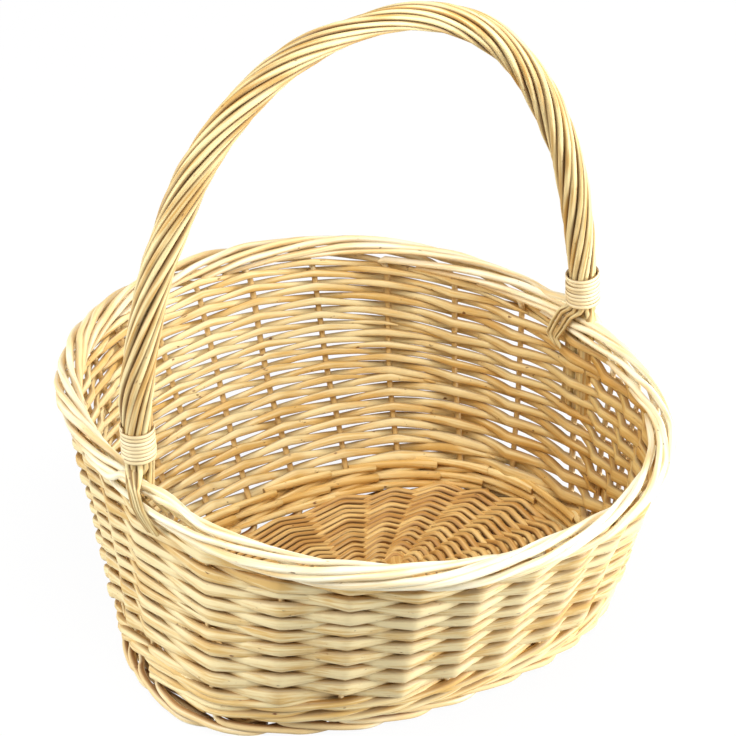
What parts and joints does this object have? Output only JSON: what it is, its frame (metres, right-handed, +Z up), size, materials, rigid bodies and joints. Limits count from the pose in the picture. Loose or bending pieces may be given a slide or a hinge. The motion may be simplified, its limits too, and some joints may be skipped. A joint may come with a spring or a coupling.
{
  "type": "wicker gift basket",
  "caption": "Oval woven willow gift basket with flaring walls, a rolled border, a foot border and a fixed roped hoop handle.",
  "frame": {"origin": "centre of the oval, on the surface that the foot border stands on", "axes": "+Z up, +X along the longer axis of the rim, +Y along the plane of the handle"},
  "size_m": [0.3916, 0.3408, 0.408],
  "materials": {
    "weaver_willow": "peeled buff willow, smooth with a soft sheen",
    "stake_willow": "peeled white willow, smooth with a soft sheen",
    "base_willow": "peeled brown-gold willow, matt",
    "handle_willow": "peeled buff willow, smooth with a soft sheen",
    "skein": "split willow skein, satin"
  },
  "bodies": {
    "root": {"upsett_rod_1": "weaver_willow", "upsett_rod_2": "weaver_willow", "upsett_rod_3": "weaver_willow", "siding_weaver_01": "weaver_willow", "siding_weaver_02": "weaver_willow", "siding_weaver_03": "weaver_willow", "siding_weaver_04": "weaver_willow", "siding_weaver_05": "weaver_willow", "siding_weaver_06": "weaver_willow", "stake_01": "stake_willow", "stake_02": "stake_willow", "stake_03": "stake_willow", "stake_04": "stake_willow", "stake_05": "stake_willow", "stake_06": "stake_willow", "stake_07": "stake_willow", "stake_08": "stake_willow", "stake_09": "stake_willow", "stake_10": "stake_willow", "stake_11": "stake_willow", "stake_12": "stake_willow", "stake_13": "stake_willow", "stake_14": "stake_willow", "stake_15": "stake_willow", "stake_16": "stake_willow", "stake_17": "stake_willow", "stake_18": "stake_willow", "stake_19": "stake_willow", "stake_20": "stake_willow", "stake_21": "stake_willow", "stake_22": "stake_willow", "stake_23": "stake_willow", "stake_24": "stake_willow", "stake_25": "stake_willow", "stake_26": "stake_willow", "stake_27": "stake_willow", "stake_28": "stake_willow", "stake_29": "stake_willow", "base_sticks": "base_willow", "base_weaver_1": "base_willow", "base_weaver_2": "base_willow", "handle_bow": "handle_willow", "handle_roping_1": "handle_willow", "handle_roping_2": "handle_willow", "handle_roping_3": "handle_willow", "handle_roping_4": "handle_willow", "handle_roping_5": "handle_willow", "handle_roping_6": "handle_willow", "handle_roping_7": "handle_willow", "handle_roping_8": "handle_willow", "handle_binding_front": "skein", "handle_binding_back": "skein"}
  },
  "joints": []
}
